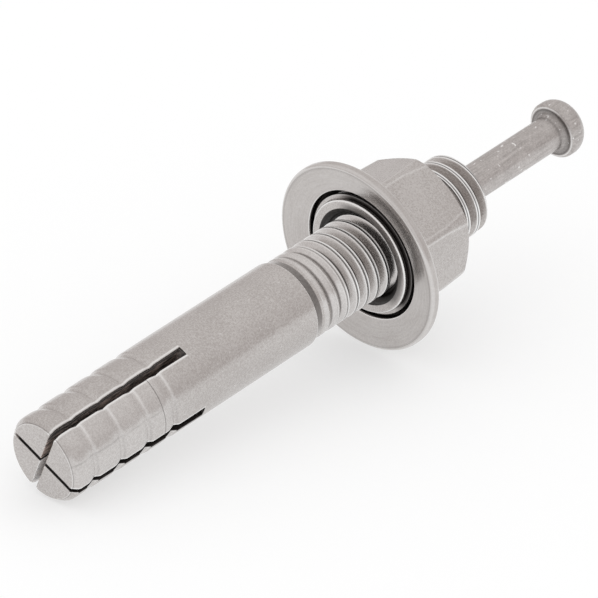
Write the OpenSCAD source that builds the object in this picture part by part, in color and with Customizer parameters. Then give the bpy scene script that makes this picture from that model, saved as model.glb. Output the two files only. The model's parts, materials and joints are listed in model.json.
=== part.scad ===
// Hammer-set nail anchor, lying as it comes to rest on the rim of its washer and
// on its tip. A slotted, grooved stud carries a threaded end. A nail stands in the
// bore of the stud. A hex nut holds a dished washer on its swaged collar.
// Every piece is drawn along its own axis, tip at zero, and then laid down.

/* [Stud] */
// Diameter of the plain shank
shank_d = 10; // [9.6:0.1:12]
// Length of the shank, from the tip to the shoulder
shank_l = 35.4; // [30:0.1:50]
// Axial length of the sloped shoulder behind the shank
shoulder_l = 1.1; // [0.4:0.1:2.5]
// Diameter of the run-out neck behind the shoulder
neck_d = 9.3; // [8:0.1:9.3]
// Length of the run-out neck
neck_l = 0.4; // [0.2:0.1:3]

/* [Thread] */
// Outside diameter of the thread
thread_d = 9.5; // [9.4:0.05:9.6]
// Length of the thread
thread_l = 25.9; // [22:0.1:40]
// Distance from one turn of the thread to the next
thread_pitch = 1.5875; // [1.25:0.0125:2]
// Depth of the thread
thread_depth = 0.97; // [0.6:0.01:1.1]
// Length over which the thread deepens, from the neck on
run_out_l = 5.2; // [2:0.1:8]
// Turn of the thread about the axis
thread_turn = 218; // [0:1:360]
// Width of the chamfer at the threaded end
thread_chamfer = 0.45; // [0.1:0.05:0.8]

/* [Expansion end] */
// Length of the slots that part the legs
slot_l = 18.6; // [16:0.1:26]
// Width of both slots at their square root
slot_root_w = 1; // [0.7:0.05:1.4]
// Width of the wide slot at the tip, where the legs are pinched together
wide_slot_tip_w = 0.65; // [0.4:0.05:1]
// Width of the narrow slot at the tip
narrow_slot_tip_w = 0.35; // [0.2:0.05:0.9]
// Turn of the wide slot about the axis, from the top towards the front
slot_turn = 28; // [0:0.1:90]
// Loss of radius at the tip where the legs are pinched
leg_pinch = 0.16; // [0.05:0.01:0.3]
// Length at the root of the slots where the legs still have the shank's radius
leg_hinge_l = 0.8; // [0.4:0.1:1]
// Radial width of the chamfer round the tip
tip_chamfer_w = 0.85; // [0.3:0.05:1.2]
// Axial length of the chamfer round the tip
tip_chamfer_l = 0.7; // [0.3:0.05:1.2]

/* [Grip grooves] */
// Number of grooves round the legs
groove_count = 4; // [2:1:4]
// Distance from the tip to the bottom of the first groove
groove_first = 3; // [2.4:0.1:4]
// Spacing of the grooves
groove_step = 3.76; // [2:0.01:4.5]
// Depth of a groove
groove_depth = 0.3; // [0.1:0.05:0.5]
// Axial length of the long flank, on the tip side of a groove
groove_lead_l = 0.9; // [0.4:0.05:1.2]
// Axial length of the short flank, on the nut side of a groove
groove_back_l = 0.6; // [0.3:0.05:1]

/* [Nail] */
// Diameter of the nail
pin_d = 4; // [3:0.1:5]
// Radial clearance of the nail in its bore
pin_clearance = 0.06; // [0.02:0.01:0.1]
// Height of the nail's head above the stud, which is its stroke
pin_stroke = 15.4; // [8:0.1:20]
// Solid metal between the bore and the tip
tip_web = 3.5; // [2:0.1:6]
// Depth of bore left under the point of the driven nail
bore_spare = 1; // [0.5:0.1:3]
// Length of the tapered point
point_l = 3.4; // [1:0.1:6]
// Diameter of the blunt end of the point
point_d = 1.6; // [0.8:0.1:2.6]
// Diameter of the head
head_d = 6.6; // [5.8:0.1:8]
// Height of the head
head_h = 2.4; // [2.2:0.1:4]
// Radius that rounds the underside of the head
head_under_r = 0.55; // [0.2:0.05:0.8]
// Radius that rounds the top of the head
head_top_r = 1.8; // [1.4:0.05:2.2]
// Diameter of the struck face on the head
head_face_d = 5.4; // [4.6:0.1:5.8]
// Radial width of the fillet under the head
head_fillet = 0.4; // [0.2:0.05:0.7]

/* [Nut] */
// Distance across the flats of the hexagon
hex_af = 14; // [13.6:0.1:17]
// Height of the hexagon
hex_h = 8.3; // [6:0.1:10]
// Turn of the hexagon about the axis
hex_turn = 9.7; // [0:0.1:60]
// Metal rounded off each corner, measured radially
corner_trim = 0.2; // [0.05:0.05:0.5]
// Length of the slight taper of the corners towards the outer end
corner_draft_l = 3.2; // [1:0.1:4]
// Loss of corner radius over that taper
corner_draft = 0.2; // [0.05:0.05:0.4]
// Radial inset of the outer face from the flats
outer_inset = 0.35; // [0.1:0.05:0.8]
// Slope of the chamfer at the outer end, from the face
outer_chamfer_angle = 30; // [15:1:45]
// Length of thread that stands out behind the nut
thread_out = 5.75; // [2:0.05:9]
// Radial clearance between nut and thread
thread_clearance = 0.08; // [0.02:0.01:0.1]
// Radial width of the countersink at the outer end of the nut
outer_sink = 0.5; // [0.2:0.05:0.9]

/* [Collar] */
// Diameter of the collar that passes through the washer
collar_d = 13.2; // [12.4:0.1:13.6]
// Radial width of the lip that is swaged out in front of the washer's step
lip_w = 0.56; // [0.52:0.02:0.7]
// Thickness of the lip at its edge
lip_t = 0.25; // [0.15:0.05:0.5]
// Axial length of the flare behind the lip
lip_flare_l = 0.3; // [0.2:0.05:0.5]
// Depth of the lip behind the mouth of the washer's hole
lip_depth = 0.4; // [0.2:0.05:0.6]
// Radial width of the lip's face round the end ring
lip_land = 0.41; // [0.3:0.01:0.6]
// Distance of the end ring behind the rim of the washer
ring_back = 0.38; // [0.1:0.02:0.6]
// Radial width of the countersink inside the end ring
ring_sink = 0.92; // [0.5:0.02:1.1]

/* [Washer] */
// Outside diameter of the washer
washer_d = 22.2; // [20:0.1:28]
// Thickness of the washer
washer_t = 1.2; // [0.9:0.05:2]
// Rise of the dished face from the rim to the hole
washer_dish = 0.6; // [0.2:0.05:1]
// Radius that rounds the rim
rim_round = 0.4; // [0.2:0.05:0.45]
// Width of the flat land on the rim
rim_land = 0.4; // [0.2:0.05:1]
// Radial play of the loose washer on the collar
collar_play = 0.4; // [0.3:0.01:0.45]
// Radial gap between the lip and the mouth of the washer's hole
mouth_gap = 0.38; // [0.3:0.01:0.5]
// Axial gap between the lip and the step inside the hole
lip_gap = 0.16; // [0.1:0.01:0.3]
// Axial length of the sloped step inside the hole
step_l = 0.3; // [0.2:0.05:0.4]
// Gap between the back of the washer and the hexagon
washer_gap = 0.15; // [0.1:0.01:0.4]

/* [Hidden] */
$fn = 96;
// Overlap that lets a cut pass clear of a face
cut = 1;
arc_steps = 8;
// Edges of one turn of the thread, as shares of its pitch and of its depth
turn_edges = [[-0.125, 0], [0.125, 0], [0.45, 1], [0.55, 1]];
// Flat sides in one turn of the thread
turn_sides = 24;
// Turns of thread that pass clear of the stud at either end
spare_turns = 2;

// Stud
shank_r = shank_d / 2;
leg_tip_r = shank_r - leg_pinch;
tip_face_r = leg_tip_r - tip_chamfer_w;
leg_hinge_z = slot_l - leg_hinge_l;
neck_z = shank_l + shoulder_l;
thread_z = neck_z + neck_l;
neck_r = neck_d / 2;
thread_r = thread_d / 2;
stud_l = thread_z + thread_l;
thread_turns = ceil(thread_l / thread_pitch) + 2 * spare_turns;
thread_rows = len(turn_edges) * thread_turns;

// Nail and its bore
pin_r = pin_d / 2;
bore_r = pin_r + pin_clearance;
driven_point_z = tip_web + bore_spare;
point_z = driven_point_z + pin_stroke;
head_z = stud_l + pin_stroke;
head_r = head_d / 2;
head_face_r = head_face_d / 2;
head_face_angle = acos(1 - (head_r - head_face_r) / head_top_r);
head_face_z = head_z + head_h;
fillet_r = pin_r + head_fillet;
mouth_r = fillet_r + pin_clearance;

// Nut
nut_end_z = stud_l - thread_out;
hex_z = nut_end_z - hex_h;
corner_r = hex_af / 2 / cos(30) - corner_trim;
outer_r = hex_af / 2 - outer_inset;
outer_chamfer_l = (corner_r - corner_draft - outer_r) * tan(outer_chamfer_angle);
nut_bore_r = thread_r + thread_clearance;
collar_r = collar_d / 2;
lip_r = collar_r + lip_w;
ring_r = lip_r - lip_land;
ring_bore_r = nut_bore_r + ring_sink;

// Washer, placed by the hexagon that it lies against
washer_r = washer_d / 2;
hole_r = collar_r + collar_play;
hole_mouth_r = lip_r + mouth_gap;
land_out_r = washer_r - rim_round;
land_in_r = land_out_r - rim_land;
dish_slope = washer_dish / (land_in_r - hole_mouth_r);
washer_back = washer_t + dish_slope * (land_out_r - hole_r);
washer_z = hex_z - washer_gap - washer_back;

// Collar, which ends just behind the rim of the washer
ring_z = washer_z + ring_back;
lip_z = washer_z + washer_dish + lip_depth;
lip_back_z = lip_z + lip_t;
step_z = lip_back_z + lip_gap;

// Rest on the edge of the tip and on the rounded rim of the washer
rim_z = washer_z + rim_round;
rest_run = rim_z - tip_chamfer_l;
rest_drop = land_out_r - leg_tip_r;
rest_tilt = atan2(rest_drop, rest_run) + asin(rim_round / norm([rest_run, rest_drop]));
rest_height = leg_tip_r * cos(rest_tilt) - tip_chamfer_l * sin(rest_tilt);
low_x = -tip_face_r * sin(rest_tilt);
high_x = head_face_z * cos(rest_tilt) + head_face_r * sin(rest_tilt);

steel = [0.71, 0.69, 0.68];
pale_steel = [0.76, 0.74, 0.73];
dull_steel = [0.64, 0.62, 0.61];

// Points of an arc about a centre, from one angle to another
function arc(centre, r, from, to) = [
  for (i = [0:arc_steps])
    let (a = from + (to - from) * i / arc_steps)
    centre + r * [cos(a), sin(a)]
];

// Lays a piece that stands on its tip down to rest, with the origin under its middle
module lie_down() {
  translate([-(low_x + high_x) / 2, 0, rest_height])
    rotate([0, 90 - rest_tilt, 0])
      children();
}

// Radius of the pinched legs at a height above the tip
function leg_r(z) =
  leg_tip_r + leg_pinch * min(1, max(0, (z - tip_chamfer_l) / (leg_hinge_z - tip_chamfer_l)));

// Outline of one grip groove, with its long flank towards the tip
function groove_points(z) = [
  [leg_r(z - groove_lead_l), z - groove_lead_l],
  [leg_r(z) - groove_depth, z],
  [leg_r(z + groove_back_l), z + groove_back_l],
];

// Plain part of the stud, from the tip to the neck, before its slots are cut
module stud_blank() {
  grooves = [
    for (i = [0:groove_count - 1])
      each groove_points(groove_first + i * groove_step)
  ];
  rotate_extrude()
    polygon(concat(
      [[0, 0], [tip_face_r, 0], [leg_tip_r, tip_chamfer_l]],
      grooves,
      [[shank_r, leg_hinge_z], [shank_r, shank_l]],
      [[neck_r, neck_z], [neck_r, thread_z], [0, thread_z]]
    ));
}

// Point of the thread on one of its edges, which climbs a pitch in each turn
function thread_point(row, side) =
  let (
    edge = turn_edges[row % len(turn_edges)],
    turn = floor(row / len(turn_edges)) - spare_turns + side / turn_sides,
    z = thread_z + thread_pitch * (turn + edge[0]),
    deepening = min(1, max(0, (z - thread_z) / run_out_l)),
    r = thread_r - thread_depth * edge[1] * deepening,
    angle = thread_turn + 360 * side / turn_sides
  )
  [r * cos(angle), r * sin(angle), z];

// Number of a point of the thread; after the last side comes the first, a turn higher
function thread_index(row, side) =
  side < turn_sides ? row * turn_sides + side : (row + len(turn_edges)) * turn_sides;

// Thread as one body, with spare turns at both ends
module thread_body() {
  last = thread_rows - 1;
  step = len(turn_edges);
  rows = [
    for (row = [0:last], side = [0:turn_sides - 1])
      thread_point(row, side)
  ];
  foot = len(rows);
  foot_rim = concat(
    [for (side = [0:turn_sides - 1]) thread_index(0, side)],
    [for (row = [step:-1:1]) thread_index(row, 0)]
  );
  top_rim = concat(
    [for (row = [last - step:last]) thread_index(row, turn_sides - 1)],
    [for (side = [turn_sides - 2:-1:0]) thread_index(last, side)]
  );
  polyhedron(
    points = concat(rows, [[0, 0, rows[0][2] - cut], [0, 0, rows[foot - 1][2] + cut]]),
    faces = concat(
      [
        for (row = [0:last - 1], side = [0:turn_sides - 1])
          if (thread_index(row + 1, side + 1) < foot)
            each [
              [thread_index(row, side), thread_index(row + 1, side), thread_index(row + 1, side + 1)],
              [thread_index(row, side), thread_index(row + 1, side + 1), thread_index(row, side + 1)],
            ]
      ],
      [for (i = [0:len(foot_rim) - 1]) [foot, foot_rim[i], foot_rim[(i + 1) % len(foot_rim)]]],
      [for (i = [0:len(top_rim) - 1]) [foot + 1, top_rim[i], top_rim[(i + 1) % len(top_rim)]]]
    )
  );
}

// Threaded end, trimmed to its length, with a chamfer at both ends
module stud_thread() {
  clear_r = thread_r + cut;
  intersection() {
    thread_body();
    rotate_extrude()
      polygon([
        [0, thread_z],
        [neck_r, thread_z],
        [clear_r, thread_z + clear_r - neck_r],
        [clear_r, stud_l - thread_chamfer - cut],
        [thread_r - thread_chamfer, stud_l],
        [0, stud_l],
      ]);
  }
}

// Slot right across the tip, narrowing from its root
module leg_slot(tip_w) {
  rotate([90, 0, 90])
    linear_extrude(height = shank_d + 2 * cut, center = true)
      polygon([
        [-tip_w / 2, -cut],
        [tip_w / 2, -cut],
        [slot_root_w / 2, slot_l],
        [-slot_root_w / 2, slot_l],
      ]);
}

// Bore with a drilled end and a mouth that takes the fillet under the head
module pin_bore() {
  rotate_extrude()
    polygon([
      [0, tip_web],
      [point_d / 2, tip_web],
      [bore_r, tip_web + point_l],
      [bore_r, stud_l - head_fillet - pin_clearance],
      [mouth_r, stud_l],
      [mouth_r, stud_l + cut],
      [0, stud_l + cut],
    ]);
}

module anchor_body() {
  color(steel)
    lie_down()
      difference() {
        union() {
          stud_blank();
          stud_thread();
        }
        rotate([0, 0, slot_turn])
          leg_slot(wide_slot_tip_w);
        rotate([0, 0, slot_turn + 90])
          leg_slot(narrow_slot_tip_w);
        pin_bore();
      }
}

module drive_pin() {
  under_centre = [head_r - head_under_r, head_z + head_under_r];
  top_centre = [head_r - head_top_r, head_face_z - head_top_r * sin(head_face_angle)];
  color(dull_steel)
    lie_down()
      rotate_extrude()
        polygon(concat(
          [[0, point_z], [point_d / 2, point_z], [pin_r, point_z + point_l]],
          [[pin_r, head_z - head_fillet], [fillet_r, head_z]],
          arc(under_centre, head_under_r, -90, 0),
          arc(top_centre, head_top_r, 0, head_face_angle),
          [[0, head_face_z]]
        ));
}

// Hexagon with rounded, slightly drafted corners and a chamfered outer end
module nut_hexagon() {
  intersection() {
    translate([0, 0, hex_z])
      rotate([0, 0, hex_turn])
        cylinder(d = hex_af / cos(30), h = hex_h, $fn = 6);
    rotate_extrude()
      polygon([
        [0, hex_z],
        [corner_r, hex_z],
        [corner_r, nut_end_z - outer_chamfer_l - corner_draft_l],
        [corner_r - corner_draft, nut_end_z - outer_chamfer_l],
        [outer_r, nut_end_z],
        [0, nut_end_z],
      ]);
  }
}

// Collar under the hexagon, swaged to a lip that keeps the washer on
module nut_collar() {
  rotate_extrude()
    polygon([
      [0, ring_z],
      [ring_r, ring_z],
      [ring_r, lip_z],
      [lip_r, lip_z],
      [lip_r, lip_back_z],
      [collar_r, lip_back_z + lip_flare_l],
      [collar_r, hex_z + cut],
      [0, hex_z + cut],
    ]);
}

// Plain bore for the thread, countersunk at both ends
module nut_bore() {
  rotate_extrude()
    polygon([
      [0, ring_z - cut],
      [ring_bore_r, ring_z - cut],
      [ring_bore_r, ring_z],
      [nut_bore_r, ring_z + ring_sink],
      [nut_bore_r, nut_end_z - outer_sink],
      [nut_bore_r + outer_sink, nut_end_z],
      [nut_bore_r + outer_sink, nut_end_z + cut],
      [0, nut_end_z + cut],
    ]);
}

module hex_nut() {
  color(pale_steel)
    lie_down()
      difference() {
        union() {
          nut_hexagon();
          nut_collar();
        }
        nut_bore();
      }
}

module captive_washer() {
  front_centre = [land_out_r, washer_z + rim_round];
  back_centre = [land_out_r, washer_z + washer_t - rim_round];
  color(pale_steel)
    lie_down()
      rotate_extrude()
        polygon(concat(
          [[hole_mouth_r, washer_z + washer_dish], [land_in_r, washer_z]],
          arc(front_centre, rim_round, -90, 0),
          arc(back_centre, rim_round, 0, 90),
          [[hole_r, washer_z + washer_back], [hole_r, step_z + step_l]],
          [[hole_mouth_r, step_z]]
        ));
}

anchor_body();
drive_pin();
hex_nut();
captive_washer();
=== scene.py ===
"""Looks of a hammer-set nail anchor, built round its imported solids.

Every piece is shaped along the anchor's own axis, tip at zero and in millimetres,
and is then laid down on the frame's axis, in metres.
"""

import json
import logging
import math
from dataclasses import dataclass, fields
from enum import Enum
from typing import Any, ClassVar, NamedTuple, Sequence

import bmesh
import bpy
import numpy as np
from mathutils import Matrix, Vector


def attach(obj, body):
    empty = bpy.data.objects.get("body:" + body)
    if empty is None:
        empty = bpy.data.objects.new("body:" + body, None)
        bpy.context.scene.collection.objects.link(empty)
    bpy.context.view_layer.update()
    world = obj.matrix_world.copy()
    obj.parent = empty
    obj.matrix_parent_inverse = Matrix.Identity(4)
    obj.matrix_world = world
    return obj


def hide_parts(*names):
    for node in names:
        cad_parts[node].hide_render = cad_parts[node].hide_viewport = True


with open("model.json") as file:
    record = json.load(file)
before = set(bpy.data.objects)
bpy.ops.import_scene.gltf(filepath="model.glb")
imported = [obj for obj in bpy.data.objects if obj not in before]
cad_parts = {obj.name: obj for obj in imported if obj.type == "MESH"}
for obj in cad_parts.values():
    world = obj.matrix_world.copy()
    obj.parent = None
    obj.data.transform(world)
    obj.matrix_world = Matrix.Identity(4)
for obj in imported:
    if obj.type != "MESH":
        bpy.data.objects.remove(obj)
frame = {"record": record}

LOG = logging.getLogger("nail_anchor")
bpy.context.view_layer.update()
METRES_PER_MM = 0.001
# Names of the point marks: painted highlight, painted shade in hollows and gaps, and real saw marks
HIGHLIGHT = "edge_wear"
PAINTED_SHADE = "grime"
SAWN = "sawn"
# Share of a side that the rounding of a corner may take
ROUNDING_SHARE = 0.45
# Points in an arc, and in the rounding of a slot's edge
ARC_POINTS = 9
EDGE_POINTS = 5
# Lengths in millimetres that count as nothing, as one point and as the same height
TINY = 1e-6
WELD = 1e-4
SAME_HEIGHT = 1e-3

Colour = tuple[float, float, float, float]
Span = tuple[float, float]


class Grain(Enum):
    """The way the fine marks on a steel surface run."""

    TUMBLED = "the same in every direction"
    DRAWN = "along the axis"
    TURNED = "round the axis"


class Corner(NamedTuple):
    """A corner of an outline: radius, height above the tip, rounding, painted highlight and painted shade.
    """

    r: float
    z: float
    rounding: float = 0.0
    wear: float = 0.0
    grime: float = 0.0


class OutlinePoint(NamedTuple):
    """A point of a finished outline, with the painted highlight and the painted shade that it shows."""

    r: float
    z: float
    wear: float = 0.0
    grime: float = 0.0


@dataclass(frozen=True)
class AnchorAxis:
    """The anchor's axis as it lies, from the tip towards the nail's head."""

    tip: Vector
    direction: Vector

    @classmethod
    def from_record(cls, record: dict[str, Any], shank_middle: float) -> "AnchorAxis":
        """Read the axis from the frame's own record.

        Args:
            record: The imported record.
            shank_middle: Height of the shank mount above the tip, in millimetres.

        Returns:
            The axis, with its tip in metres.
        """
        joint = next(j for j in record["behaviour"]["joints"] if j["name"] == "nut_turn")
        mount = next(m for m in record["mounts"] if m["name"] == "shank")
        direction = Vector(joint["axis"]).normalized()
        tip = Vector(mount["pos_m"]) - direction * shank_middle * METRES_PER_MM
        return cls(tip, direction)

    @property
    def tilt(self) -> float:
        """Angle of the axis above the floor, in radians."""
        return math.asin(self.direction.z)

    def matrix(self) -> Matrix:
        """Matrix from millimetres along the axis to metres in the frame."""
        across = Vector((0.0, 1.0, 0.0))
        down = across.cross(self.direction)
        turn = Matrix((down, across, self.direction)).transposed().to_4x4()
        return Matrix.Translation(self.tip) @ turn @ Matrix.Scale(METRES_PER_MM, 4)

    def point(self, height: float) -> Vector:
        """Point on the axis at a height above the tip in millimetres."""
        return self.tip + self.direction * height * METRES_PER_MM


def swell(share: np.ndarray | float) -> np.ndarray | float:
    """Rise from 0 to 1 in the middle of a stretch and fall back to 0."""
    return 4 * share * (1 - share)


def rounded_outline(corners: Sequence[Corner], steps: int = 4) -> list[OutlinePoint]:
    """Round the corners of an outline with short curves.

    Args:
        corners: The corners in order; the first and the last stay as they are.
        steps: Pieces in each rounding.

    Returns:
        The points of the rounded outline.
    """
    points = [OutlinePoint(corners[0].r, corners[0].z, 0.0, corners[0].grime)]
    for before, here, after in zip(corners, corners[1:], corners[2:]):
        corner = np.array([here.r, here.z])
        back = np.array([before.r, before.z]) - corner
        ahead = np.array([after.r, after.z]) - corner
        back_l, ahead_l = np.linalg.norm(back), np.linalg.norm(ahead)
        reach = min(here.rounding, ROUNDING_SHARE * back_l, ROUNDING_SHARE * ahead_l)
        if reach < TINY:
            points.append(OutlinePoint(here.r, here.z, here.wear, here.grime))
            continue
        start = corner + back / back_l * reach
        end = corner + ahead / ahead_l * reach
        for i in range(steps + 1):
            t = i / steps
            p = (1 - t) ** 2 * start + 2 * t * (1 - t) * corner + t**2 * end
            points.append(OutlinePoint(float(p[0]), float(p[1]), here.wear * swell(t), here.grime))
    points.append(OutlinePoint(corners[-1].r, corners[-1].z, 0.0, corners[-1].grime))
    return points


def arc(centre: Span, r: float, start: float, end: float, wear: float = 0.0) -> list[OutlinePoint]:
    """Points of an arc.

    Args:
        centre: Radius and height of its centre.
        r: Its radius.
        start: Angle of its first point in degrees.
        end: Angle of its last point.
        highlight: Painted highlight in its middle.

    Returns:
        The points, both ends with them.
    """
    shares = np.linspace(0, 1, ARC_POINTS)
    turns = np.radians(start + (end - start) * shares)
    return [
        OutlinePoint(centre[0] + r * math.cos(t), centre[1] + r * math.sin(t), wear * swell(s))
        for t, s in zip(turns, shares)
    ]


def polar(radius: np.ndarray | float, angles: np.ndarray, z: float) -> np.ndarray:
    """Points round the axis at one height.

    Args:
        radius: One radius, or one for each angle.
        angles: Angles in radians.
        z: Height above the tip.

    Returns:
        An array of points, one row each.
    """
    return np.stack([radius * np.cos(angles), radius * np.sin(angles), np.full_like(angles, z)], axis=1)


def smooth_min(a: np.ndarray | float, b: np.ndarray | float, blend: float) -> tuple[np.ndarray, np.ndarray]:
    """Smaller of two radii with a rounded meeting.

    Args:
        a: The first radii.
        b: The second radii.
        blend: How far apart they may be and still round off.

    Returns:
        The rounded radii, and how much of an edge each one is.
    """
    share = np.clip(0.5 + 0.5 * (b - a) / blend, 0, 1)
    edge = swell(share)
    return b * (1 - share) + a * share - blend * edge / 4, edge


def facing(angles: np.ndarray, turn: float, span: Span) -> np.ndarray:
    """How far points round the axis face one way.

    Args:
        angles: Angles of the points in radians.
        turn: The way, in degrees.
        span: Cosines at which the share begins and is whole.

    Returns:
        Shares from 0 to 1.
    """
    cosines = np.cos(angles - math.radians(turn))
    return np.clip((cosines - span[0]) / (span[1] - span[0]), 0, 1)


class MeshSketch:
    """Points and faces of one piece, in millimetres along the axis."""

    def __init__(self) -> None:
        """Start an empty sketch."""
        self.points: list[Sequence[float]] = []
        self.marks: dict[str, list[float]] = {HIGHLIGHT: [], PAINTED_SHADE: [], SAWN: []}
        self.faces: list[list[int]] = []

    def row(self, points: np.ndarray, **marks: np.ndarray | float) -> list[int]:
        """Add a row of points.

        Args:
            points: The points, one row each.
            marks: Painted highlight, painted shade or saw marks of all of them, or of each.

        Returns:
            Their numbers.
        """
        first = len(self.points)
        self.points.extend(points.tolist())
        for name, values in self.marks.items():
            values.extend(np.broadcast_to(marks.get(name, 0.0), len(points)).tolist())
        return list(range(first, first + len(points)))

    def strip(self, low: Sequence[int], high: Sequence[int]) -> None:
        """Join two closed rows of equal length with faces."""
        for i in range(len(low)):
            j = (i + 1) % len(low)
            self.faces.append([low[i], low[j], high[j], high[i]])

    def fan(self, pole: int, ring: Sequence[int]) -> None:
        """Join a closed row to one point on the axis."""
        for i in range(len(ring)):
            self.faces.append([pole, ring[i], ring[(i + 1) % len(ring)]])

    def lathe(self, outline: Sequence[OutlinePoint], columns: int, closed: bool = False) -> None:
        """Turn an outline round the axis.

        Args:
            outline: Points from one end to the other; a point on the axis is a pole.
            columns: Faces round the axis.
            closed: Whether the last point joins the first.
        """
        angles = np.arange(columns) * 2 * math.pi / columns
        rows = []
        for point in outline:
            turns = angles if point.r > TINY else angles[:1]
            rows.append(self.row(polar(point.r, turns, point.z), edge_wear=point.wear, grime=point.grime))
        pairs = list(zip(rows, rows[1:])) + ([(rows[-1], rows[0])] if closed else [])
        for low, high in pairs:
            if len(low) == 1:
                self.fan(low[0], high)
            elif len(high) == 1:
                self.fan(high[0], low)
            else:
                self.strip(low, high)

    def to_bmesh(self) -> bmesh.types.BMesh:
        """Return the sketch as an editable mesh with its marks on each point."""
        mesh = bmesh.new()
        for name in self.marks:
            mesh.verts.layers.float.new(name)
        made = [mesh.verts.new(place) for place in self.points]
        for name, values in self.marks.items():
            layer = mesh.verts.layers.float[name]
            for vert, value in zip(made, values):
                vert[layer] = value
        for face in self.faces:
            mesh.faces.new([made[i] for i in face])
        return mesh


class Wire:
    """A value on its way through a node tree; arithmetic on it adds Math nodes."""

    def __init__(self, graph: "NodeGraph", socket: bpy.types.NodeSocket) -> None:
        """Hold an output socket of a graph."""
        self.graph = graph
        self.socket = socket

    def math(self, operation: str, *others: "Wire | float", swapped: bool = False) -> "Wire":
        """Add a Math node.

        Args:
            operation: The node's operation.
            others: The further operands.
            swapped: Whether this value is the second operand.

        Returns:
            The node's value.
        """
        operands = [self, *others]
        if swapped:
            operands.reverse()
        return self.graph.add("ShaderNodeMath", {"operation": operation}, dict(enumerate(operands)))

    def __add__(self, other: "Wire | float") -> "Wire":
        """Sum of two values."""
        return self.math("ADD", other)

    __radd__ = __add__

    def __sub__(self, other: "Wire | float") -> "Wire":
        """Difference of two values."""
        return self.math("SUBTRACT", other)

    def __rsub__(self, other: float) -> "Wire":
        """Difference from a plain number."""
        return self.math("SUBTRACT", other, swapped=True)

    def __mul__(self, other: "Wire | float") -> "Wire":
        """Product of two values."""
        return self.math("MULTIPLY", other)

    __rmul__ = __mul__

    def __truediv__(self, other: "Wire | float") -> "Wire":
        """Quotient of two values."""
        return self.math("DIVIDE", other)

    def __rtruediv__(self, other: float) -> "Wire":
        """Quotient of a plain number."""
        return self.math("DIVIDE", other, swapped=True)

    def step(self, low: float, high: float) -> "Wire":
        """Rise smoothly from 0 to 1 between two values."""
        inputs = {"Value": self, "From Min": low, "From Max": high}
        return self.graph.add("ShaderNodeMapRange", {"interpolation_type": "SMOOTHSTEP"}, inputs)


Settings = dict[str, Any]
Inputs = dict[str | int, Any]


class NodeGraph:
    """A node tree that is written as Python expressions."""

    def __init__(self, tree: bpy.types.NodeTree) -> None:
        """Empty a tree and hold it."""
        self.tree = tree
        tree.nodes.clear()

    def node(self, kind: str, settings: Settings, inputs: Inputs) -> bpy.types.Node:
        """Add a node.

        Args:
            kind: The node's type.
            settings: Properties, set first.
            inputs: Values or wires for its sockets, by name or number.

        Returns:
            The node.
        """
        made = self.tree.nodes.new(kind)
        for name, value in settings.items():
            setattr(made, name, value)
        for name, value in inputs.items():
            if isinstance(value, Wire):
                self.tree.links.new(value.socket, made.inputs[name])
            else:
                made.inputs[name].default_value = value
        return made

    def add(self, kind: str, settings: Settings, inputs: Inputs, out: str | int = 0) -> Wire:
        """Add a node and return one of its outputs.

        Args:
            kind: The node's type.
            settings: Properties, set first.
            inputs: Values or wires for its sockets.
            out: Name or number of the output.

        Returns:
            The output.
        """
        return Wire(self, self.node(kind, settings, inputs).outputs[out])

    def noise(self, place: Wire, scale: float, detail: float = 2.0, roughness: float = 0.5) -> Wire:
        """Noise about 0.5 at a place, with a scale in marks for each millimetre."""
        inputs = {"Vector": place, "Scale": scale, "Detail": detail, "Roughness": roughness}
        return self.add("ShaderNodeTexNoise", {"noise_dimensions": "3D"}, inputs)

    def mix(self, share: "Wire | float", a: Any, b: Any) -> Wire:
        """Colour between two colours."""
        inputs = {"Factor": share, 6: a, 7: b}
        return self.add("ShaderNodeMix", {"data_type": "RGBA"}, inputs, out=2)


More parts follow.
